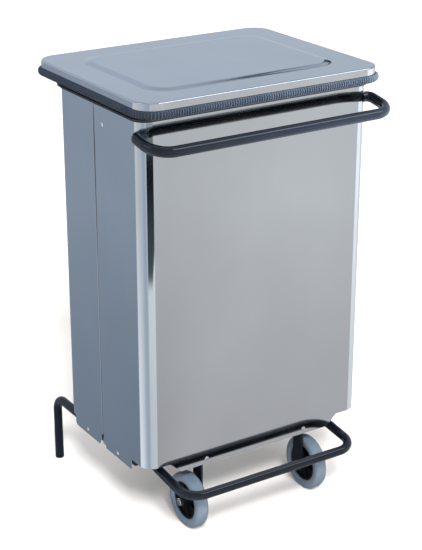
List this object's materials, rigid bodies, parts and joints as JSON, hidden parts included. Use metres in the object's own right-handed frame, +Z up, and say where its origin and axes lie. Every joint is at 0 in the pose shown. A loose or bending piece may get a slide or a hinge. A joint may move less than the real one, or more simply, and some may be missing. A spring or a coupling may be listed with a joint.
{
  "type": "pedal waste bin",
  "caption": "Wheeled stainless steel sack bin for laboratory waste, with a foot pedal, linkage rod, hinged flat lid, push handle and black tube frame.",
  "frame": {"origin": "on the floor, under the middle of the whole object's bounding box", "axes": "+X along the pedal side towards its right-hand end, +Y from the pedal side to the hinge side, +Z up"},
  "size_m": [0.534, 0.4905, 0.883],
  "materials": {
    "bright_steel": "bright polished stainless sheet, near mirror",
    "satin_steel": "plain mill stainless sheet",
    "black_paint": "gloss black powder coat on steel",
    "slate_rubber": "dark slate ribbed rubber edge strip",
    "black_rubber": "matt black rubber",
    "grey_tyre": "blue-grey non-marking rubber",
    "black_plastic": "moulded black plastic",
    "zinc_steel": "bright zinc plated steel"
  },
  "bodies": {
    "bin": {"front_shell": "bright_steel", "rear_shell": "bright_steel", "base_pan": "satin_steel", "top_frame": "black_paint", "sack_band": "black_rubber", "push_handle": "black_paint", "handle_screw_left": "zinc_steel", "handle_screw_right": "zinc_steel", "base_leg_left": "black_paint", "base_leg_right": "black_paint", "foot_cap_left": "black_plastic", "foot_cap_right": "black_plastic", "cross_channel_front": "black_paint", "cross_channel_rear": "black_paint", "channel_screw_front_left": "zinc_steel", "channel_screw_front_right": "zinc_steel", "channel_screw_rear_left": "zinc_steel", "channel_screw_rear_right": "zinc_steel", "wheel_strap": "black_paint", "strap_screw_left": "zinc_steel", "strap_screw_right": "zinc_steel", "axle_bolt_left": "zinc_steel", "axle_bolt_right": "zinc_steel", "axle_nut_left": "zinc_steel", "axle_nut_right": "zinc_steel", "pivot_bolt_left": "zinc_steel", "pivot_bolt_right": "zinc_steel", "hinge_bracket_left": "black_paint", "hinge_bracket_right": "black_paint", "hinge_pin_left": "zinc_steel", "hinge_pin_right": "zinc_steel", "front_rivet_left": "zinc_steel", "front_rivet_right": "zinc_steel", "rear_rivet_left": "zinc_steel", "rear_rivet_right": "zinc_steel", "left_rivet_front": "zinc_steel", "left_rivet_rear": "zinc_steel", "left_rivet_top": "zinc_steel", "right_rivet_front": "zinc_steel", "right_rivet_rear": "zinc_steel", "right_rivet_top": "zinc_steel"},
    "lid": {"lid_shell": "bright_steel", "lid_trim": "slate_rubber", "lid_buffer_left": "black_rubber", "lid_buffer_right": "black_rubber", "lid_leaf_left": "black_paint", "lid_leaf_right": "black_paint", "lid_lever": "black_paint", "lid_lever_pin": "zinc_steel"},
    "pedal": {"pedal_tube": "black_paint", "pivot_tube": "black_paint", "pivot_bush_left": "black_plastic", "pivot_bush_right": "black_plastic", "pedal_lever": "black_paint", "pedal_lever_pin": "zinc_steel"},
    "push_rod": {"push_rod": "zinc_steel"},
    "wheel_left": {"tyre_left": "grey_tyre", "hub_left": "black_plastic"},
    "wheel_right": {"tyre_right": "grey_tyre", "hub_right": "black_plastic"}
  },
  "joints": [
    {"name": "lid_hinge", "type": "hinge", "parent": "bin", "child": "lid", "pos_m": [0, 0.20015, 0.845], "axis": [-1, 0, 0], "range_deg": [0, 80]},
    {"name": "pedal_pivot", "type": "hinge", "parent": "bin", "child": "pedal", "pos_m": [0, 0.00515, 0.144], "axis": [1, 0, 0], "range_deg": [0, 15.8]},
    {"name": "rod_pivot", "type": "hinge", "parent": "pedal", "child": "push_rod", "pos_m": [0, 0.16955, 0.0708], "axis": [-1, 0, 0], "range_deg": [0, 14.75]},
    {"name": "wheel_left_spin", "type": "hinge", "parent": "bin", "child": "wheel_left", "pos_m": [-0.1418, -0.14685, 0.0565], "axis": [1, 0, 0], "continuous": true},
    {"name": "wheel_right_spin", "type": "hinge", "parent": "bin", "child": "wheel_right", "pos_m": [0.1418, -0.14685, 0.0565], "axis": [1, 0, 0], "continuous": true}
  ],
  "couplings": [
    {"joint": "pedal_pivot", "follows": "lid_hinge", "ratio": 0.1975},
    {"joint": "rod_pivot", "follows": "lid_hinge", "ratio": 0.184}
  ]
}
